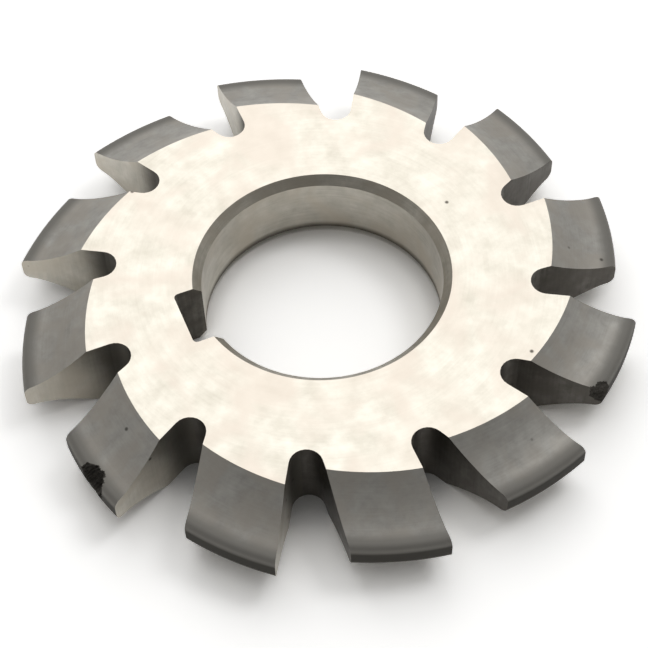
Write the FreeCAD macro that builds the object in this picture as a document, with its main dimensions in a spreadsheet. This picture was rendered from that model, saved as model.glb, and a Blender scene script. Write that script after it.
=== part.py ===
"""Disc-type involute gear cutter, form relieved, 12 teeth.

Frame: millimetres, +Z up along the bore. The origin is on the bore's axis at
the lower hub face, and the keyway is centred on -X. Twelve radial cutting faces
stand at multiples of 30 degrees, and the cutter turns anticlockwise seen from
+Z: each tooth falls away clockwise behind its cutting face.
"""
import FreeCAD, Part
import math
import os

import Sketcher

Vector = FreeCAD.Vector
Rule = Sketcher.Constraint

DIMS = {
    "outside_radius": 35.0,
    "cutter_width": 9.2,
    "tooth_count": 12,
    "bore_radius": 13.5,
    "bore_chamfer": 0.95,
    "key_width": 7.0,
    "key_depth": 16.3,
    "key_corner": 0.5,
    "core_radius": 24.5,
    "relief_offset": 5.73,
    "sweep_start": 8.3,
    "sweep_angle": 26.2,
    "root_radius": 1.8,
    "flute_floor": 23.0,
    "flute_angle": 25.0,
    "flute_reach": 37.0,
}

# The gear this cutter makes. The tooth is the gap between two of its teeth.
MODULE = 3.0
GEAR_TEETH = 30
PRESSURE_ANGLE = math.radians(20.0)
DEDENDUM = 1.25

TIP_CORNER = 0.9
CORNER_FLATS = 4
FLANK_POINTS = 9
TOOTH_FOOT = 20.0

# Broken edges. Each is a shell-shaped scoop: name, which cutting face, degrees behind it,
# radius, height over mid width, degrees that its heel end leans towards the bore, then its
# half sizes upwards, outwards and round the rim.
CHIPS = [
    ("land_chip", 210.0, 8.0, 34.9, 0.7, 20.0, (1.6, 1.9, 2.2)),
    ("heel_chip", 330.0, 17.6, 33.0, 0.9, 0.0, (1.5, 1.6, 1.4)),
]


def make_sheet(doc):
    sheet = doc.addObject("Spreadsheet::Sheet", "dims")
    for row, (name, value) in enumerate(DIMS.items(), start=1):
        sheet.set("A%d" % row, name)
        sheet.set("B%d" % row, str(value))
        sheet.setAlias("B%d" % row, name)
    doc.recompute()


def origin_feature(body, role):
    for feature in body.Origin.OriginFeatures:
        if feature.Role == role:
            return feature
    raise RuntimeError("no origin feature " + role)


def new_sketch(body, name, plane_role):
    sketch = body.newObject("Sketcher::SketchObject", name)
    sketch.AttachmentSupport = (origin_feature(body, plane_role), [""])
    sketch.MapMode = "FlatFace"
    return sketch


def line(x1, y1, x2, y2):
    return Part.LineSegment(Vector(x1, y1, 0), Vector(x2, y2, 0))


def arc(x, y, radius, start, end):
    return Part.ArcOfCircle(Part.Circle(Vector(x, y, 0), Vector(0, 0, 1), radius), start, end)


def measure(sketch, kind, where, value, expression):
    """One measured constraint, tied to the dimension sheet."""
    index = sketch.addConstraint(Rule(kind, *where, value))
    sketch.setExpression("Constraints[%d]" % index, expression)


def involute(angle):
    return math.tan(angle) - angle


def flank_curve():
    """Points (radius, half width) down one side of the cutting edge, side face to tip.

    The gap between two gear teeth is seen from the cutter's axis, so the gear's
    root circle lies on the cutter's outside diameter.
    """
    pitch = MODULE * GEAR_TEETH / 2
    base = pitch * math.cos(PRESSURE_ANGLE)
    root = pitch - DEDENDUM * MODULE

    def point(unrolled):
        gear_radius = base * math.sqrt(1 + unrolled ** 2)
        gap = math.pi / (2 * GEAR_TEETH) - involute(PRESSURE_ANGLE) + involute(math.atan(unrolled))
        radius = DIMS["outside_radius"] - (gear_radius * math.cos(gap) - root)
        return radius, gear_radius * math.sin(gap)

    low, high = 0.0, 1.0
    for _ in range(60):
        middle = (low + high) / 2
        if point(middle)[1] < DIMS["cutter_width"] / 2:
            low = middle
        else:
            high = middle
    return [point(low * (1 - i / (FLANK_POINTS - 1))) for i in range(FLANK_POINTS)]


def make_core(body):
    """Solid hub under the teeth, with the chamfered bore, turned about +Z."""
    bore, core = DIMS["bore_radius"], DIMS["core_radius"]
    width, chamfer = DIMS["cutter_width"], DIMS["bore_chamfer"]
    corners = [(bore, chamfer), (bore + chamfer, 0), (core, 0), (core, width),
               (bore + chamfer, width), (bore, width - chamfer)]
    sketch = new_sketch(body, "core_section", "XZ_Plane")
    for start, end in zip(corners, corners[1:] + corners[:1]):
        sketch.addGeometry(line(*start, *end), False)
    for i in range(6):
        sketch.addConstraint(Rule("Coincident", i, 2, (i + 1) % 6, 1))
    sketch.addConstraint([Rule("Horizontal", 1), Rule("Horizontal", 3), Rule("Vertical", 2),
                          Rule("Vertical", 5), Rule("PointOnObject", 1, 1, -1)])
    measure(sketch, "DistanceX", (-1, 1, 0, 1), bore, "dims.bore_radius")
    measure(sketch, "DistanceX", (-1, 1, 2, 1), core, "dims.core_radius")
    measure(sketch, "DistanceY", (-1, 1, 3, 1), width, "dims.cutter_width")
    for axis, ends in (("X", (0, 1, 1, 1)), ("Y", (1, 1, 0, 1)), ("X", (4, 2, 4, 1)), ("Y", (4, 2, 4, 1))):
        measure(sketch, "Distance" + axis, ends, chamfer, "dims.bore_chamfer")
    hub = body.newObject("PartDesign::Revolution", "core")
    hub.Profile = sketch
    hub.ReferenceAxis = (sketch, ["V_Axis"])
    hub.Angle = 360


def make_tooth(body):
    """One relieved tooth: its cutting edge carried round an axis beside the bore's.

    The offset axis makes the whole edge sink evenly towards the bore, so the tooth
    keeps its form when its cutting face is ground back. A point at radius r on the
    cutting face is hypot(r, offset) from that axis.
    """
    offset = DIMS["relief_offset"]
    width = DIMS["cutter_width"]
    middle = width / 2
    flank = [(math.hypot(r, offset), half) for r, half in flank_curve()]
    full, (neck, half) = flank[0][0], flank[-1]
    tip = math.hypot(DIMS["outside_radius"], offset)
    foot = math.hypot(TOOTH_FOOT, offset)
    shoulder, land = tip - TIP_CORNER, half - TIP_CORNER

    def spline(side):
        curve = Part.BSplineCurve()
        curve.interpolate([Vector(out, middle + side * half, 0) for out, half in flank])
        return curve

    def corner(side):
        """The round between flank and land, as narrow flats within 0.02 mm of it."""
        turns = [math.pi / 2 * i / CORNER_FLATS for i in range(CORNER_FLATS + 1)]
        points = [(shoulder + TIP_CORNER * math.sin(a),
                   middle + side * (land + TIP_CORNER * math.cos(a))) for a in turns]
        return [line(*start, *end) for start, end in zip(points, points[1:])]

    edge = [line(foot, 0, full, 0), spline(-1), line(neck, middle - half, shoulder, middle - half)]
    edge += corner(-1)
    edge.append(line(tip, middle - land, tip, middle + land))
    edge += corner(1)
    edge += [line(shoulder, middle + half, neck, middle + half), spline(1)]
    edge += [line(full, width, foot, width), line(foot, width, foot, 0)]

    # The sketch stands on the offset axis and starts a little ahead of the cutting
    # face, so the flute cuts that face through the tooth.
    sketch = new_sketch(body, "cutting_edge", "XZ_Plane")
    sketch.AttachmentOffset = FreeCAD.Placement(
        Vector(0, 0, -offset), FreeCAD.Rotation(Vector(0, 1, 0), -DIMS["sweep_start"]))
    sketch.setExpression("AttachmentOffset.Base.z", "-dims.relief_offset")
    for index, curve in enumerate(edge):
        sketch.addGeometry(curve, False)
        sketch.addConstraint(Rule("Block", index))
    tooth = body.newObject("PartDesign::Revolution", "relieved_tooth")
    tooth.Profile = sketch
    tooth.ReferenceAxis = (sketch, ["V_Axis"])
    tooth.Reversed = True
    tooth.setExpression("Angle", "dims.sweep_angle")
    return tooth


def cut_through(body, sketch, name):
    pocket = body.newObject("PartDesign::Pocket", name)
    pocket.Profile = sketch
    pocket.Type = 1
    pocket.Midplane = True
    return pocket


def make_flute(body):
    """One chip flute: a radial cutting face, a round floor and a leaning heel wall."""
    radius, floor, reach = DIMS["root_radius"], DIMS["flute_floor"], DIMS["flute_reach"]
    lean = math.radians(DIMS["flute_angle"])
    centre = floor + radius
    touch_x, touch_y = centre - radius * math.sin(lean), radius + radius * math.cos(lean)
    mouth = touch_y + (reach - touch_x) * math.tan(lean)
    sketch = new_sketch(body, "flute_outline", "XY_Plane")
    sketch.addGeometry([
        line(centre, 0, reach, 0),
        line(reach, 0, reach, mouth),
        line(reach, mouth, touch_x, touch_y),
        arc(centre, radius, radius, math.pi / 2 + lean, 3 * math.pi / 2),
    ], False)
    sketch.addConstraint([
        Rule("Coincident", 0, 2, 1, 1), Rule("Coincident", 1, 2, 2, 1),
        Rule("Tangent", 2, 2, 3, 1), Rule("Tangent", 3, 2, 0, 1),
        Rule("PointOnObject", 0, 1, -1), Rule("Horizontal", 0), Rule("Vertical", 1),
    ])
    measure(sketch, "Radius", (3,), radius, "dims.root_radius")
    measure(sketch, "DistanceX", (-1, 1, 3, 3), centre, "dims.flute_floor + dims.root_radius")
    measure(sketch, "DistanceX", (-1, 1, 0, 2), reach, "dims.flute_reach")
    measure(sketch, "Angle", (0, 1, 2, 2), lean, "dims.flute_angle * 1deg")
    return cut_through(body, sketch, "flute")


def make_keyway(body):
    """Flat-bottomed keyway through the bore's wall on -X."""
    half, depth, corner = DIMS["key_width"] / 2, DIMS["key_depth"], DIMS["key_corner"]
    inner = DIMS["bore_radius"] - half
    sketch = new_sketch(body, "keyway_outline", "XY_Plane")
    sketch.addGeometry([
        line(-inner, -half, -inner, half),
        line(-inner, half, corner - depth, half),
        arc(corner - depth, half - corner, corner, math.pi / 2, math.pi),
        line(-depth, half - corner, -depth, corner - half),
        arc(corner - depth, corner - half, corner, math.pi, 3 * math.pi / 2),
        line(corner - depth, -half, -inner, -half),
    ], False)
    sketch.addConstraint([
        Rule("Coincident", 0, 2, 1, 1), Rule("Tangent", 1, 2, 2, 1), Rule("Tangent", 2, 2, 3, 1),
        Rule("Tangent", 3, 2, 4, 1), Rule("Tangent", 4, 2, 5, 1), Rule("Coincident", 5, 2, 0, 1),
        Rule("Horizontal", 1), Rule("Symmetric", 0, 1, 0, 2, -1), Rule("Equal", 2, 4),
    ])
    measure(sketch, "Radius", (2,), corner, "dims.key_corner")
    measure(sketch, "DistanceY", (0, 1, 0, 2), 2 * half, "dims.key_width")
    measure(sketch, "DistanceX", (3, 1, -1, 1), depth, "dims.key_depth")
    measure(sketch, "DistanceX", (0, 1, -1, 1), inner, "dims.bore_radius - dims.key_width / 2")
    return cut_through(body, sketch, "keyway")


def make_chip(body, name, face, behind, radius, height, lean, sizes):
    """A break in one tooth's edge, scooped out by an ellipsoid lying along the rim."""
    turn = math.radians(face - behind)
    scoop = body.newObject("PartDesign::SubtractiveEllipsoid", name)
    scoop.Radius1, scoop.Radius2, scoop.Radius3 = sizes
    scoop.Angle1, scoop.Angle2, scoop.Angle3 = -90, 90, 360
    place = Vector(radius * math.cos(turn), radius * math.sin(turn), 0)
    heading = FreeCAD.Rotation(Vector(0, 0, 1), math.degrees(turn) - lean)
    scoop.Placement = FreeCAD.Placement(place, heading)
    scoop.setExpression("Placement.Base.z", "dims.cutter_width / 2 + %s" % height)
    return scoop


def repeat_round(body, feature, name):
    """Copies of a feature all round the bore's axis."""
    ring = body.newObject("PartDesign::PolarPattern", name)
    ring.Originals = [feature]
    ring.Axis = (origin_feature(body, "Z_Axis"), [""])
    ring.Angle = 360
    ring.setExpression("Occurrences", "dims.tooth_count")
    body.Tip = ring


def check(doc):
    for obj in doc.Objects:
        states = " ".join(obj.State)
        if "Invalid" in states or "Error" in states:
            raise RuntimeError("%s is not built: %s" % (obj.Label, states))
        if obj.TypeId.startswith("PartDesign::") and (obj.Shape.isNull() or not obj.Shape.isValid()):
            raise RuntimeError("%s has no valid shape" % obj.Label)


def main():
    doc = FreeCAD.newDocument("gear_cutter")
    make_sheet(doc)
    body = doc.addObject("PartDesign::Body", "cutter")
    body.Label = "cutter"
    make_core(body)
    repeat_round(body, make_tooth(body), "teeth")
    repeat_round(body, make_flute(body), "flutes")
    body.Tip = make_keyway(body)
    for chip in CHIPS:
        body.Tip = make_chip(body, *chip)
    doc.recompute()
    check(doc)
    os.makedirs("parts", exist_ok=True)
    body.Shape.exportStep("parts/cutter.step")


main()
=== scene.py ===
"""Form-relieved gear cutter lying on a white bench: ground high-speed steel, no other piece.

The cutter's detailed body stands in for the one CAD node. The cutter's own lengths are in
millimetres until they become mesh points or pattern scales, which are in metres. The bench,
the lamps and the camera are placed in metres.
"""
import bpy
import math
from mathutils import Matrix, Vector
from mathutils.geometry import delaunay_2d_cdt


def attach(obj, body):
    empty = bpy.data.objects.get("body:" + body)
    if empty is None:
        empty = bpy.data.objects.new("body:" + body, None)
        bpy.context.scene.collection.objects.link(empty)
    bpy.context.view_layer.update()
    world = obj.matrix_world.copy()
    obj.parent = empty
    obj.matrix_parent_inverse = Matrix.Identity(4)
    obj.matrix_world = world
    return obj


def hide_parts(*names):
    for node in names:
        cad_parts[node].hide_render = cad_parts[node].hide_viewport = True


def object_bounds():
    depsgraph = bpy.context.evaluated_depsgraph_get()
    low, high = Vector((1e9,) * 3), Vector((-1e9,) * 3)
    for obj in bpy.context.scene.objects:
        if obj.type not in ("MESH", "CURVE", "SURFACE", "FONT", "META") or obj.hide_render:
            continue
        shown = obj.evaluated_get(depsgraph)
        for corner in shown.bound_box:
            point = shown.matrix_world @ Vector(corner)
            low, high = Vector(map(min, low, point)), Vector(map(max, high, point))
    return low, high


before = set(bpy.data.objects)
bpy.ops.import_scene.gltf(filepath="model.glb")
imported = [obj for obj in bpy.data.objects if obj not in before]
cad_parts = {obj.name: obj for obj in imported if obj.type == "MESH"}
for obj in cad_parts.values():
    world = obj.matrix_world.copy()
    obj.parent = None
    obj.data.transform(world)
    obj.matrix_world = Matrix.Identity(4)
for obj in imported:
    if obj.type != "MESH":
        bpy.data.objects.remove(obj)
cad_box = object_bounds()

MM = 0.001

# Sizes of the cutter, the same as in the part's own source. Radii, and the floors of the keyway
# and the flutes, are measured from the bore's axis.
OUTSIDE_RADIUS = 35.0
WIDTH = (cad_box[1][2] - cad_box[0][2]) / MM
MIDDLE = WIDTH / 2
TEETH = 12
PITCH = math.tau / TEETH
BORE_RADIUS = 13.5
BORE_CHAMFER = 0.95
MOUTH_RADIUS = BORE_RADIUS + BORE_CHAMFER
KEY_HALF_WIDTH = 3.5
KEY_FLOOR = 16.3
KEY_CORNER = 0.5
ROOT_RADIUS = 1.8
FLUTE_FLOOR = 23.0
FLUTE_ANGLE = math.radians(25.0)
TIP_CORNER = 0.9
# The relieving turns a tooth's edge about an axis this far beside the bore's, and over this
# length of the rim.
RELIEF_OFFSET = 5.73
TOOTH_RUN = OUTSIDE_RADIUS * math.radians(17.3)

# The gear that the cutter makes.
MODULE = 3.0
GEAR_TEETH = 30
PRESSURE_ANGLE = math.radians(20.0)
DEDENDUM = 1.25

# Broken edges: tooth, degrees behind its cutting face, radius, height over mid width,
# degrees that the heel end leans towards the bore, half sizes outwards, round the rim and upwards.
CHIPS = [
    (7, 7.5, 34.9, 0.7, 20.0, (2.5, 2.1, 1.9)),
    (11, 17.6, 33.7, 0.8, 0.0, (1.9, 1.5, 1.7)),
]

# How ragged a break is: its outline, as a share of its size, and its floor, in millimetres, with
# a grain this many times finer.
RAGGED_OUTLINE = 0.13
RAGGED_FLOOR = 0.08
FLOOR_FINER = 2.3

# Divisions of a tooth's flank, corner, half land and sweep: whole teeth and those with a chip.
PLAIN_STEPS = (20, 6, 2, 26)
FINE_STEPS = (30, 12, 6, 110)
ROOT_STEPS = 10
BORE_STEPS = 180
KEY_CORNER_STEPS = 5
# Two faces that meet at more than this show an edge between them.
SHARP_EDGE = math.radians(24)
# Points nearer than this are one point.
SAME_PLACE = 1e-4

FINISHES = ["side_face", "flank", "cutting_face", "flute", "bore", "chamfer", "keyway"]
# Of a flute's round floor, the faces next to the cutting face that the sharpening wheel reaches.
SHARPENED_FACES = 4
# How far the scratches move on from one tooth to the next, so that no two teeth look alike.
SCRATCH_SHIFT = 31.0
# Depth of the scratches, and roughness of worn or stained steel, of painted shade and of a fracture.
SCRATCH_DEPTH = 0.012
MATT = 0.75
FRACTURE_ROUGHNESS = 0.7

# The bench top: half its size in metres, its own whiteness, and how much whiter it looks to the
# camera and in the steel than the light makes it.
BENCH_HALF = 1.5
BENCH_WHITE = 0.9
FLOOR_LIFT = 1.72
# How far shade reaches out of the crease round the cutter, in millimetres, and what it leaves.
CREASE_REACH = 4.5
CREASE_DARKEST = 0.4

# Brightness of the room in front of the cutter and behind it, where white paper is 1.
ROOM_FRONT = 0.17
ROOM_BACK = 0.68
TOWARDS_BACK = (0.3, 0.95, 0.0)

# The camera's place round the cutter and over the bench and its lean, in degrees, its distance
# from the point of the upper side face that it looks at, in metres, and its lens in millimetres.
CAMERA_AZIMUTH = -20.16
CAMERA_ELEVATION = 53.88
CAMERA_LEAN = -2.4
CAMERA_DISTANCE = 0.18238
CAMERA_AIM = (-0.00246, -0.00664)
LENS_LENGTH = 93.36
SENSOR_WIDTH = 36.0


# ---------------------------------------------------------------- shape

def involute(angle):
    """The involute function of a pressure angle."""
    return math.tan(angle) - angle


def flank_points(count):
    """(radius, half width) from the side face out to the neck under the tip corner."""
    pitch = MODULE * GEAR_TEETH / 2
    base = pitch * math.cos(PRESSURE_ANGLE)
    root = pitch - DEDENDUM * MODULE

    def point(unrolled):
        """Place on the flank where the involute's angle has this tangent."""
        gear_radius = base * math.sqrt(1 + unrolled ** 2)
        gap = math.pi / (2 * GEAR_TEETH) - involute(PRESSURE_ANGLE) + involute(math.atan(unrolled))
        return OUTSIDE_RADIUS - (gear_radius * math.cos(gap) - root), gear_radius * math.sin(gap)

    # Halving finds where the flank has become as wide as the cutter.
    low, high = 0.0, 1.0
    for _ in range(50):
        middle = (low + high) / 2
        if point(middle)[1] < MIDDLE:
            low = middle
        else:
            high = middle
    return [point(low * (1 - i / count)) for i in range(count + 1)]


def cutting_edge(flank_steps, corner_steps, land_steps):
    """(radius, height) round one tooth's edge, from lower side face to upper."""
    half = flank_points(flank_steps)
    neck = half[-1][1]
    shoulder, land = OUTSIDE_RADIUS - TIP_CORNER, neck - TIP_CORNER
    for i in range(corner_steps + 1):
        turn = math.pi / 2 * i / corner_steps
        half.append((shoulder + TIP_CORNER * math.sin(turn), land + TIP_CORNER * math.cos(turn)))
    half += [(OUTSIDE_RADIUS, land * (1 - i / land_steps)) for i in range(1, land_steps + 1)]
    lower = [(r, MIDDLE - h) for r, h in half]
    upper = [(r, MIDDLE + h) for r, h in half[-2::-1]]
    return lower + upper


def flute_root():
    """Plan of a flute's round floor, from its cutting face (y = 0) to its heel wall."""
    centre = FLUTE_FLOOR + ROOT_RADIUS
    start, end = 3 * math.pi / 2, math.pi / 2 + FLUTE_ANGLE
    turns = [start + (end - start) * i / ROOT_STEPS for i in range(ROOT_STEPS + 1)]
    return [(centre + ROOT_RADIUS * math.cos(t), ROOT_RADIUS + ROOT_RADIUS * math.sin(t)) for t in turns]


def spin(x, y, angle):
    """A plan point turned about the bore's axis."""
    c, s = math.cos(angle), math.sin(angle)
    return x * c - y * s, x * s + y * c


# Where the heel wall behind a tooth leaves the next flute's floor, and the way that it runs.
HEEL_FOOT = spin(*flute_root()[-1], -PITCH)
HEEL_RUN = (math.cos(FLUTE_ANGLE - PITCH), math.sin(FLUTE_ANGLE - PITCH))


def sweep_ends(radius):
    """Where a point of the edge starts and stops turning about the relief axis (0, offset)."""
    start = -math.atan2(RELIEF_OFFSET, radius)
    reach = math.hypot(radius, RELIEF_OFFSET)
    # The stop is where the heel wall's line meets the point's circle about that axis.
    fx, fy = HEEL_FOOT[0], HEEL_FOOT[1] - RELIEF_OFFSET
    along = fx * HEEL_RUN[0] + fy * HEEL_RUN[1]
    run = -along + math.sqrt(along ** 2 - (fx ** 2 + fy ** 2) + reach ** 2)
    return start, math.atan2(fy + run * HEEL_RUN[1], fx + run * HEEL_RUN[0])


def swept(radius, share):
    """Plan point of the edge point at this radius, a share of the way to the heel."""
    start, end = sweep_ends(radius)
    turn = start + (end - start) * share
    reach = math.hypot(radius, RELIEF_OFFSET)
    return reach * math.cos(turn), RELIEF_OFFSET + reach * math.sin(turn)


def rough(x, y, z):
    """Small repeatable unevenness for a broken surface, between -1 and 1."""
    a = math.sin(7.3 * x + 2.1 * y) + math.sin(5.9 * y - 3.7 * z + 1.3)
    b = math.sin(9.1 * z + 4.4 * x + 0.6) + math.sin(12.7 * (x + y - z))
    return (a + b) / 4


def chip_depth(tooth, x, y, z):
    """How far a break takes this point of the rim towards the bore; negative outside it."""
    deepest = -1.0
    for where, behind, radius, height, lean, (out, along, up) in CHIPS:
        if where != tooth:
            continue
        # Outwards and round the rim from the middle of the break.
        u, v = spin(x, y, math.radians(behind))
        u -= radius
        c, s = math.cos(math.radians(lean)), -math.sin(math.radians(lean))
        ragged = 1 + RAGGED_OUTLINE * rough(x, y, z)
        inside = ragged ** 2 - ((z - MIDDLE - height) / up) ** 2
        # The scoop's floor is the lower root of a u^2 + 2 b u + e = 0.
        a = (c / out) ** 2 + (s / along) ** 2
        b = v * s * c * (1 / out ** 2 - 1 / along ** 2)
        e = v * v * ((s / out) ** 2 + (c / along) ** 2) - inside
        reach = b * b - a * e
        if reach > 0:
            grain = rough(x * FLOOR_FINER, y * FLOOR_FINER, z * FLOOR_FINER)
            floor = -(b + math.sqrt(reach)) / a + RAGGED_FLOOR * grain
            deepest = max(deepest, u - floor)
        else:
            deepest = max(deepest, reach)
    return deepest


class Shell:
    """Collects the cutter's faces, each with its finish and its place along the sweep."""

    def __init__(self):
        self.points, self.index = [], {}
        self.faces, self.finish, self.places = [], [], []
        self.broken = {}

    def point(self, x, y, z):
        """Index of the mesh point at this place, which neighbouring faces share."""
        key = (round(x, 4), round(y, 4), round(z, 4))
        if key not in self.index:
            self.index[key] = len(self.points)
            self.points.append((x * MM, y * MM, z * MM))
        return self.index[key]

    def face(self, corners, finish, places=None):
        """Adds a face, without the corners that fall together."""
        loop, spots = [], []
        for i, corner in enumerate(corners):
            index = self.point(*corner)
            if index not in loop:
                loop.append(index)
                spots.append(places[i] if places else (0.0, 0.0))
        if len(loop) > 2:
            self.faces.append(loop)
            self.finish.append(FINISHES.index(finish))
            self.places.append(spots)


def add_tooth(shell, tooth):
    """Flanks, land, cutting face and heel wall of one tooth. Returns its plan on the side face."""
    chipped = any(chip[0] == tooth for chip in CHIPS)
    *edge_steps, steps = FINE_STEPS if chipped else PLAIN_STEPS
    edge = cutting_edge(*edge_steps)
    angle = tooth * PITCH
    # Distances along the edge, from the tooth's mid line.
    across = [0.0]
    for (r0, z0), (r1, z1) in zip(edge, edge[1:]):
        across.append(across[-1] + math.hypot(r1 - r0, z1 - z0))
    across = [run - across[-1] / 2 for run in across]
    rows = []
    for radius, z in edge:
        row = []
        for k in range(steps + 1):
            share = k / steps
            x, y = swept(radius, share)
            depth = chip_depth(tooth, x, y, z) if chipped else -1.0
            if depth > 0:
                x, y = swept(radius - depth, share)
            row.append((*spin(x, y, angle), z))
            shell.broken[shell.point(*row[-1])] = depth
        rows.append(row)
    for j in range(len(edge) - 1):
        for k in range(steps):
            cells = [(j, k), (j, k + 1), (j + 1, k + 1), (j + 1, k)]
            spots = [(tooth * SCRATCH_SHIFT + TOOTH_RUN * b / steps, across[a]) for a, b in cells]
            shell.face([rows[a][b] for a, b in cells][::-1], "flank", spots[::-1])
    face_foot = spin(FLUTE_FLOOR + ROOT_RADIUS, 0, angle)
    heel_foot = spin(*HEEL_FOOT, angle)
    front = [row[0] for row in rows]
    back = [row[-1] for row in rows]
    shell.face([(*face_foot, 0)] + front + [(*face_foot, WIDTH)], "cutting_face")
    shell.face(([(*heel_foot, 0)] + back + [(*heel_foot, WIDTH)])[::-1], "flute")
    return [p[:2] for p in rows[-1]]


def add_root(shell, tooth):
    """Round floor of the flute ahead of one cutting face. Returns its plan."""
    plan = [spin(x, y, tooth * PITCH) for x, y in flute_root()]
    for i, ((x0, y0), (x1, y1)) in enumerate(zip(plan, plan[1:])):
        finish = "cutting_face" if i < SHARPENED_FACES else "flute"
        shell.face([(x0, y0, WIDTH), (x0, y0, 0), (x1, y1, 0), (x1, y1, WIDTH)], finish)
    return plan


def bore_ring(radius):
    """Plan of the bore's wall at a radius, from the keyway's one side round to its other."""
    edge = math.pi - math.asin(KEY_HALF_WIDTH / radius)
    turns = [edge * (2 * i / BORE_STEPS - 1) for i in range(BORE_STEPS + 1)]
    return [(radius * math.cos(t), radius * math.sin(t)) for t in turns]


def add_bore(shell):
    """Bore wall, its two chamfers and the keyway. Returns the plan of their mouth."""
    rings = [(MOUTH_RADIUS, 0.0), (BORE_RADIUS, BORE_CHAMFER),
             (BORE_RADIUS, WIDTH - BORE_CHAMFER), (MOUTH_RADIUS, WIDTH)]
    plans = [[(x, y, z) for x, y in bore_ring(r)] for r, z in rings]
    for level, finish in enumerate(("chamfer", "bore", "chamfer")):
        low, high = plans[level], plans[level + 1]
        for i in range(len(low) - 1):
            shell.face([low[i], high[i], high[i + 1], low[i + 1]], finish)
    deep, side = KEY_CORNER - KEY_FLOOR, KEY_HALF_WIDTH - KEY_CORNER
    turns = [math.pi / 2 * i / KEY_CORNER_STEPS for i in range(KEY_CORNER_STEPS + 1)]
    corner = [(deep - KEY_CORNER * math.sin(t), side + KEY_CORNER * math.cos(t)) for t in turns]
    floor = corner + [(x, -y) for x, y in corner[::-1]]
    for (x0, y0), (x1, y1) in zip(floor, floor[1:]):
        shell.face([(x0, y0, 0), (x0, y0, WIDTH), (x1, y1, WIDTH), (x1, y1, 0)], "keyway")
    for end, sign in ((-1, 1), (0, -1)):
        wall = [plan[end] for plan in plans]
        wall += [(deep, sign * KEY_HALF_WIDTH, WIDTH), (deep, sign * KEY_HALF_WIDTH, 0)]
        shell.face(wall[::sign], "keyway")
    return bore_ring(MOUTH_RADIUS) + floor


def add_side_faces(shell, outer, inner):
    """The two flat ground faces, between the teeth's outline and the bore's mouth."""
    plan = [Vector(p) for p in outer + inner]
    edges = [(i, (i + 1) % len(outer)) for i in range(len(outer))]
    edges += [(len(outer) + i, len(outer) + (i + 1) % len(inner)) for i in range(len(inner))]
    # Output type 1 gives the triangles inside the outer outline, with those over the bore.
    points, _, faces, _, _, _ = delaunay_2d_cdt(plan, edges, [], 1, 1e-7)
    for loop in faces:
        flat = [(points[i][0], points[i][1]) for i in loop]
        x, y = (sum(p[axis] for p in flat) / 3 for axis in (0, 1))
        in_keyway = -KEY_FLOOR < x < 0 and abs(y) < KEY_HALF_WIDTH
        if in_keyway or math.hypot(x, y) < MOUTH_RADIUS:
            continue
        shell.face([(x, y, WIDTH) for x, y in flat], "side_face")
        shell.face([(x, y, 0.0) for x, y in flat[::-1]], "side_face")


def build_cutter():
    """The whole cutter as one mesh, with the patterns' places and the breaks' depths in it."""
    shell = Shell()
    outer = []
    for tooth in range(TEETH):
        root = add_root(shell, tooth)
        rim = add_tooth(shell, tooth)
        # Anticlockwise: heel end of the tooth to its cutting edge, then round the flute.
        outer += rim[::-1] + root
    outline = [p for i, p in enumerate(outer) if math.dist(p, outer[i - 1]) > SAME_PLACE]
    add_side_faces(shell, outline, add_bore(shell))
    mesh = bpy.data.meshes.new("gear_cutter")
    mesh.from_pydata(shell.points, [], shell.faces)
    sweep = mesh.uv_layers.new(name="sweep")
    spots = [spot for face in shell.places for spot in face]
    for loop, spot in enumerate(spots):
        sweep.data[loop].uv = spot
    broken = mesh.attributes.new("broken", "FLOAT", "POINT")
    broken.data.foreach_set("value", [shell.broken.get(i, -1.0) for i in range(len(shell.points))])
    mesh.polygons.foreach_set("material_index", shell.finish)
    mesh.polygons.foreach_set("use_smooth", [True] * len(mesh.polygons))
    mesh.update()
    mesh.validate()
    mesh.set_sharp_from_angle(angle=SHARP_EDGE)
    cutter = bpy.data.objects.new("gear_cutter", mesh)
    bpy.context.collection.objects.link(cutter)
    return cutter


# ---------------------------------------------------------------- finishes

def linear(hex_colour):
    """sRGB hex, such as "#C8C4BA", to the linear colour that a shader wants."""
    parts = [int(hex_colour[i:i + 2], 16) / 255 for i in (1, 3, 5)]
    return (*[c / 12.92 if c <= 0.04045 else ((c + 0.055) / 1.055) ** 2.4 for c in parts], 1.0)


def add_node(tree, kind, inputs=None, **settings):
    """One shader node. inputs name what feeds each socket, or its plain value; settings its properties."""
    node = tree.nodes.new(kind)
    for name, value in settings.items():
        setattr(node, name, value)
    for name, source in (inputs or {}).items():
        if isinstance(source, bpy.types.NodeSocket):
            tree.links.new(source, node.inputs[name])
        else:
            node.inputs[name].default_value = source
    return node


# Where a Mix node takes its factor, two colours or two numbers, and where it gives the colour.
FACTOR, FIRST, SECOND, LOW, HIGH = 0, 6, 7, 2, 3
MIXED = 2


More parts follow.
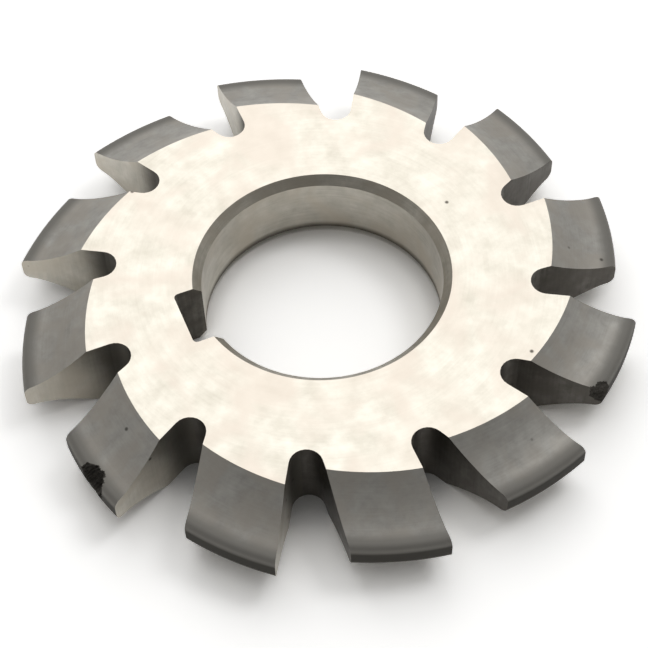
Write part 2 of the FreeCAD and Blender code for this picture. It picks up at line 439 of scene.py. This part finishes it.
def steel_finish(name, colours, roughness, marks, lines, patches, dull=(), broken=False):
    """High-speed steel as a tool leaves it: parallel scratches over a cloudy satin.

    colours are the two shades of its cloudiness and the tint of its larger stains, and patches
    is the clouds' size in millimetres. marks gives the vector that the scratches follow, and
    lines is how strongly they show. dull lists matt layers of wear, pits and painted shade, each with
    where it lies, in the order in which they cover each other. broken adds the fractures.
    """
    finish = bpy.data.materials.new(name)
    finish.use_nodes = True
    tree = finish.node_tree
    tree.nodes.clear()
    place = add_node(tree, "ShaderNodeTexCoord").outputs["Object"]
    scratch = add_node(tree, "ShaderNodeTexNoise", {"Vector": marks(tree, place), "Scale": 1.0,
                                                    "Detail": 3.0, "Roughness": 0.6})
    cloud = add_node(tree, "ShaderNodeTexNoise", {"Vector": place, "Scale": 1 / (patches * MM),
                                                  "Detail": 5.0, "Roughness": 0.65})
    # Stains are a little over twice as wide as the clouds.
    stain = add_node(tree, "ShaderNodeTexNoise", {"Vector": place, "Scale": 0.45 / (patches * MM),
                                                  "Detail": 2.0, "Distortion": 0.6})
    # Fainter scratches swing less round a half, so that clouds and scratches together average 1.
    fade = add_node(tree, "ShaderNodeMath", {0: scratch.outputs["Fac"], 1: lines, 2: 0.5 - lines / 2},
                    operation="MULTIPLY_ADD")
    both = add_node(tree, "ShaderNodeMath", {0: fade.outputs[0], 1: cloud.outputs["Fac"]}, operation="ADD")
    share = add_node(tree, "ShaderNodeMapRange",
                     {"Value": both.outputs[0], "From Min": 0.78, "From Max": 1.22})
    shade = add_node(tree, "ShaderNodeMix", {FACTOR: share.outputs[0], FIRST: linear(colours[0]),
                                             SECOND: linear(colours[1])}, data_type="RGBA")
    spread = add_node(tree, "ShaderNodeMapRange", {"Value": stain.outputs["Fac"], "From Min": 0.42,
                                                   "From Max": 0.62, "To Max": 0.75})
    tinted = add_node(tree, "ShaderNodeMix", {FACTOR: spread.outputs[0], FIRST: shade.outputs[MIXED],
                                              SECOND: linear(colours[2])}, data_type="RGBA")
    colour = tinted.outputs[MIXED]
    satin = add_node(tree, "ShaderNodeMapRange", {"Value": both.outputs[0], "From Min": 0.7, "From Max": 1.3,
                                                  "To Min": roughness + 0.05, "To Max": roughness - 0.05})
    gloss, height = satin.outputs[0], fade.outputs[0]
    for tone, where in dull:
        extent = where(tree, place)
        layer = add_node(tree, "ShaderNodeMix", {FACTOR: extent, FIRST: colour, SECOND: linear(tone)},
                         data_type="RGBA")
        matt = add_node(tree, "ShaderNodeMix", {FACTOR: extent, LOW: gloss, HIGH: MATT})
        colour, gloss = layer.outputs[MIXED], matt.outputs[0]
    if broken:
        # Fracture: dull grey grains of about 0.2 mm, drawn coarser than the real 0.02 mm.
        grain = add_node(tree, "ShaderNodeTexNoise",
                         {"Vector": place, "Scale": 1 / (0.2 * MM), "Detail": 3.0})
        crystal = add_node(tree, "ShaderNodeMix", {FACTOR: grain.outputs["Fac"], FIRST: linear("#2C2A28"),
                                                   SECOND: linear("#66635D")}, data_type="RGBA")
        depth = add_node(tree, "ShaderNodeAttribute", attribute_name="broken")
        inside = add_node(tree, "ShaderNodeMapRange", {"Value": depth.outputs["Fac"], "From Min": 0.0,
                                                       "From Max": 0.03})
        layer = add_node(tree, "ShaderNodeMix", {FACTOR: inside.outputs[0], FIRST: colour,
                                                 SECOND: crystal.outputs[MIXED]}, data_type="RGBA")
        colour = layer.outputs[MIXED]
        rough_break = add_node(tree, "ShaderNodeMix",
                               {FACTOR: inside.outputs[0], LOW: gloss, HIGH: FRACTURE_ROUGHNESS})
        gloss = rough_break.outputs[0]
    bump = add_node(tree, "ShaderNodeBump",
                    {"Height": height, "Strength": 0.5, "Distance": SCRATCH_DEPTH * MM})
    steel = add_node(tree, "ShaderNodeBsdfPrincipled",
                     {"Base Color": colour, "Roughness": gloss, "Normal": bump.outputs[0], "Metallic": 1.0})
    add_node(tree, "ShaderNodeOutputMaterial", {0: steel.outputs[0]})
    return finish


def add_radius(tree, place):
    """Distance from the bore's axis, in metres, and the place flattened onto the bench."""
    flat = add_node(tree, "ShaderNodeVectorMath", {0: place, 1: (1, 1, 0)}, operation="MULTIPLY")
    length = add_node(tree, "ShaderNodeVectorMath", {0: flat.outputs[0]}, operation="LENGTH")
    return length.outputs["Value"], flat.outputs[0]


# Real scratches are a few hundredths of a millimetre apart. The spacings given to these three
# are wider, so that the scratches show. Spacing and length are in millimetres.

def round_marks(spacing, length):
    """Scratches that run round the bore's axis."""
    def build(tree, place):
        radius, flat = add_radius(tree, place)
        around = add_node(tree, "ShaderNodeVectorMath", {0: flat}, operation="NORMALIZE")
        # Marks have their full length in the middle of a side face, 20 mm from the axis.
        slow = add_node(tree, "ShaderNodeVectorMath", {0: around.outputs[0], "Scale": 20 / length},
                        operation="SCALE")
        # On a side face the radius tells the rings apart, and in the bore the height.
        height = add_node(tree, "ShaderNodeSeparateXYZ", {0: place})
        profile = add_node(tree, "ShaderNodeMath", {0: radius, 1: height.outputs[2]}, operation="ADD")
        step = add_node(tree, "ShaderNodeMath", {0: profile.outputs[0], 1: 1 / (spacing * MM)},
                        operation="MULTIPLY")
        level = add_node(tree, "ShaderNodeCombineXYZ", {2: step.outputs[0]})
        vector = add_node(tree, "ShaderNodeVectorMath", {0: slow.outputs[0], 1: level.outputs[0]},
                          operation="ADD")
        return vector.outputs[0]
    return build


def upright_marks(spacing, length):
    """Scratches that run along the bore's direction."""
    def build(tree, place):
        scale = (1 / (spacing * MM), 1 / (spacing * MM), 1 / (length * MM))
        mapping = add_node(tree, "ShaderNodeMapping", {"Vector": place, "Scale": scale})
        return mapping.outputs[0]
    return build


def sweep_marks(spacing, length):
    """Scratches that follow the relieving wheel, from a tooth's cutting edge to its heel."""
    def build(tree, place):
        sweep = add_node(tree, "ShaderNodeUVMap", uv_map="sweep")
        mapping = add_node(tree, "ShaderNodeMapping", {"Vector": sweep.outputs[0],
                                                       "Scale": (1 / length, 1 / spacing, 1.0)})
        return mapping.outputs[0]
    return build


def root_scale_and_painted_shade(tree, place):
    """Unground steel and painted shade in the gullet: full at a flute's floor, gone before the middle of the
    cutting face.
    """
    radius, _ = add_radius(tree, place)
    share = add_node(tree, "ShaderNodeMapRange",
                     {"Value": radius, "From Min": 23.6 * MM, "From Max": 28.4 * MM,
                      "To Min": 0.85, "To Max": 0.0}, interpolation_type="SMOOTHSTEP")
    return share.outputs[0]


def near_mid_line(tree, full, none, most):
    """A share of most up to full millimetres from a tooth's mid line, and nothing from none on."""
    sweep = add_node(tree, "ShaderNodeUVMap", uv_map="sweep")
    split = add_node(tree, "ShaderNodeSeparateXYZ", {0: sweep.outputs[0]})
    aside = add_node(tree, "ShaderNodeMath", {0: split.outputs[1]}, operation="ABSOLUTE")
    share = add_node(tree, "ShaderNodeMapRange",
                     {"Value": aside.outputs[0], "From Min": full, "From Max": none,
                      "To Min": most, "To Max": 0.0}, interpolation_type="SMOOTHSTEP")
    return share.outputs[0]


def worn_corner_and_painted_shade(tree, place):
    """Wear with painted shade: matt and a little darker round the tip's corners and the last millimetre of
    the flanks.
    """
    return near_mid_line(tree, full=2.0, none=3.6, most=0.9)


def painted_shade_on_land(tree, place):
    """Painted shade on the tip's land: dark, as where it mirrors the bench in the cutter's shadow."""
    return near_mid_line(tree, full=0.6, none=1.25, most=0.95)


def painted_shade_at_bore_foot(tree, place):
    """Painted shade up the lowest millimetre of the bore's wall, from its lower chamfer."""
    split = add_node(tree, "ShaderNodeSeparateXYZ", {0: place})
    share = add_node(tree, "ShaderNodeMapRange",
                     {"Value": split.outputs[2], "From Min": BORE_CHAMFER * MM, "From Max": 2.1 * MM,
                      "To Min": 0.8, "To Max": 0.0}, interpolation_type="SMOOTHSTEP")
    return share.outputs[0]


def pits(cell, chosen, flat):
    """Dark pits: one to a chosen share of cells this many millimetres wide, flat or in the round."""
    def build(tree, place):
        cells = add_node(tree, "ShaderNodeTexVoronoi", {"Vector": place, "Scale": 1 / (cell * MM)},
                         voronoi_dimensions="2D" if flat else "3D")
        pick = add_node(tree, "ShaderNodeSeparateColor", {0: cells.outputs["Color"]})
        some = add_node(tree, "ShaderNodeMath", {0: pick.outputs[0], 1: chosen}, operation="LESS_THAN")
        # Each is dark over a quarter of a millimetre and gone at just over half.
        spot = add_node(tree, "ShaderNodeMapRange", {"Value": cells.outputs["Distance"],
                                                     "From Min": 0.12 / cell, "From Max": 0.28 / cell,
                                                     "To Min": 0.75, "To Max": 0.0})
        both = add_node(tree, "ShaderNodeMath", {0: some.outputs[0], 1: spot.outputs[0]},
                        operation="MULTIPLY")
        return both.outputs[0]
    return build


def make_finishes():
    """One material per finish, in the order of FINISHES."""
    return [
        # Side faces: ground on a rotary table, so bright and warm, with faint rings, stains and pits.
        steel_finish("surface_ground_high_speed_steel", ("#DED8CA", "#F9F4E8", "#E8DDD0"),
                     roughness=0.34, marks=round_marks(0.3, 8.0), lines=0.25, patches=3.0,
                     dull=[("#4A443C", pits(cell=8.0, chosen=0.13, flat=True))]),
        # Flanks: relief-ground, so a grey satin with scratches along the wheel's path. The tips' corners are
        # worn matt and dimmed with painted shade, the land is painted dark as shade, and the breaks show the
        # steel's dull grain.
        steel_finish("relief_ground_high_speed_steel", ("#9B9994", "#B1AFAA", "#A6A199"),
                     roughness=0.52, marks=sweep_marks(0.22, 6.0), lines=0.35, patches=1.8,
                     dull=[("#8B8984", worn_corner_and_painted_shade), ("#403E3A", painted_shade_on_land),
                           ("#4A4742", pits(cell=3.0, chosen=0.3, flat=False))], broken=True),
        # Cutting faces: sharpened by a dish wheel, so lighter. Towards the root, which the wheel doesn't
        # reach,
        # they darken: partly the unground steel and partly painted shade in the deep gullet.
        steel_finish("sharpened_high_speed_steel", ("#A9A59B", "#BFBBB1", "#AFA89B"),
                     roughness=0.38, marks=upright_marks(0.25, 6.0), lines=0.5, patches=1.8,
                     dull=[("#53504A", root_scale_and_painted_shade),
                           ("#45423D", pits(cell=2.0, chosen=0.4, flat=False))]),
        # Heel walls and flute floors: milled, then darkened in the hardening furnace.
        steel_finish("milled_hardened_high_speed_steel", ("#4F4C47", "#686560", "#534F4A"),
                     roughness=0.5, marks=upright_marks(0.35, 7.0), lines=0.5, patches=1.8),
        # Bore: internally ground, so softly shining with rings round the wall, with painted shade at its
        # foot.
        steel_finish("internally_ground_high_speed_steel", ("#A6A298", "#BEBAB0", "#AEA698"),
                     roughness=0.36, marks=round_marks(0.25, 9.0), lines=0.5, patches=2.5,
                     dull=[("#3A3630", painted_shade_at_bore_foot)]),
        # Bore chamfers: turned before hardening, so a little duller than the ground wall.
        steel_finish("turned_high_speed_steel", ("#A5A196", "#C4BFB4", "#ABA497"),
                     roughness=0.45, marks=round_marks(0.3, 9.0), lines=0.6, patches=1.5),
        # Keyway: broached, so striped upright, and dark with furnace scale.
        steel_finish("broached_high_speed_steel", ("#504D48", "#69665F", "#544F49"),
                     roughness=0.55, marks=upright_marks(0.4, 8.0), lines=0.6, patches=1.5),
    ]


# ---------------------------------------------------------------- studio

def build_floor():
    """White bench top. It shows plain white to the camera but keeps the cutter's shadow."""
    mesh = bpy.data.meshes.new("bench_top")
    size, z = BENCH_HALF, cad_box[0][2]
    mesh.from_pydata([(-size, -size, z), (size, -size, z), (size, size, z), (-size, size, z)], [],
                     [(0, 1, 2, 3)])
    floor = bpy.data.objects.new("bench_top", mesh)
    bpy.context.collection.objects.link(floor)
    white = bpy.data.materials.new("white_bench_laminate")
    white.use_nodes = True
    tree = white.node_tree
    tree.nodes.clear()
    path = add_node(tree, "ShaderNodeLightPath")
    seen = add_node(tree, "ShaderNodeMath", {0: path.outputs["Is Camera Ray"],
                                             1: path.outputs["Is Glossy Ray"]}, operation="MAXIMUM")
    level = add_node(tree, "ShaderNodeMapRange", {"Value": seen.outputs[0], "To Min": BENCH_WHITE,
                                                  "To Max": FLOOR_LIFT})
    # Shade gathers in the crease where steel meets bench. It darkens the bench top that the
    # camera sees, and not what the steel mirrors.
    crease = add_node(tree, "ShaderNodeAmbientOcclusion", {"Distance": CREASE_REACH * MM}, samples=12)
    shade = add_node(tree, "ShaderNodeMapRange",
                     {"Value": crease.outputs["AO"], "From Min": 0.3, "From Max": 0.75,
                      "To Min": CREASE_DARKEST, "To Max": 1.0})
    shown = add_node(tree, "ShaderNodeMix", {FACTOR: path.outputs["Is Camera Ray"], LOW: 1.0,
                                             HIGH: shade.outputs[0]})
    tone = add_node(tree, "ShaderNodeMath", {0: level.outputs[0], 1: shown.outputs[0]}, operation="MULTIPLY")
    paint = add_node(tree, "ShaderNodeBsdfDiffuse", {"Color": tone.outputs[0]})
    add_node(tree, "ShaderNodeOutputMaterial", {0: paint.outputs[0]})
    mesh.materials.append(white)


def add_softbox(name, place, size, brightness):
    """A flat panel as bright as a sheet of white paper times brightness, turned to the cutter."""
    lamp = bpy.data.lights.new(name, "AREA")
    lamp.shape = "RECTANGLE"
    lamp.size, lamp.size_y = size
    # A lamp as bright as white paper gives out pi watts for each square metre.
    lamp.energy = brightness * math.pi * size[0] * size[1]
    softbox = bpy.data.objects.new(name, lamp)
    softbox.location = place
    softbox.rotation_euler = (-Vector(place)).to_track_quat("-Z", "Y").to_euler()
    bpy.context.collection.objects.link(softbox)


def light_studio():
    """Pale room, lighter behind the cutter, with a white panel over its back and a window on the right."""
    world = bpy.data.worlds.new("pale_room")
    world.use_nodes = True
    tree = world.node_tree
    tree.nodes.clear()
    direction = add_node(tree, "ShaderNodeTexCoord").outputs["Generated"]
    facing = add_node(tree, "ShaderNodeVectorMath", {0: direction, 1: TOWARDS_BACK},
                      operation="DOT_PRODUCT")
    level = add_node(tree, "ShaderNodeMapRange", {"Value": facing.outputs["Value"], "From Min": -1.0,
                                                  "From Max": 1.0, "To Min": ROOM_FRONT, "To Max": ROOM_BACK})
    # The camera sees plain white behind the bench; the steel sees the room.
    path = add_node(tree, "ShaderNodeLightPath")
    seen = add_node(tree, "ShaderNodeMix", {FACTOR: path.outputs["Is Camera Ray"], LOW: level.outputs[0],
                                            HIGH: 1.0})
    room = add_node(tree, "ShaderNodeBackground", {"Color": linear("#FFFEFC"), "Strength": seen.outputs[0]})
    add_node(tree, "ShaderNodeOutputWorld", {0: room.outputs[0]})
    bpy.context.scene.world = world
    add_softbox("overhead_panel", place=(0.08, 0.41, 0.61), size=(0.66, 0.88), brightness=0.685)
    add_softbox("window", place=(0.44, 0.04, 0.68), size=(0.25, 0.25), brightness=3.6)


def place_camera():
    """Looks steeply down on the cutter from the front left, leaning a little."""
    azimuth, elevation = math.radians(CAMERA_AZIMUTH), math.radians(CAMERA_ELEVATION)
    back = Vector((math.sin(azimuth) * math.cos(elevation), -math.cos(azimuth) * math.cos(elevation),
                   math.sin(elevation)))
    lens = bpy.data.cameras.new("camera")
    lens.lens, lens.sensor_width = LENS_LENGTH, SENSOR_WIDTH
    lens.clip_start, lens.clip_end = 0.01, 10.0
    camera = bpy.data.objects.new("camera", lens)
    camera.location = Vector((*CAMERA_AIM, cad_box[1][2])) + back * CAMERA_DISTANCE
    level = (-back).to_track_quat("-Z", "Y").to_matrix()
    lean = Matrix.Rotation(math.radians(CAMERA_LEAN), 3, "Z")
    camera.rotation_euler = (level @ lean).to_euler()
    bpy.context.collection.objects.link(camera)
    bpy.context.scene.camera = camera


cutter = build_cutter()
for finish in make_finishes():
    cutter.data.materials.append(finish)
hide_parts("cutter")
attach(cutter, "root")
build_floor()
light_studio()
place_camera()
bpy.context.scene.view_settings.view_transform = "Standard"
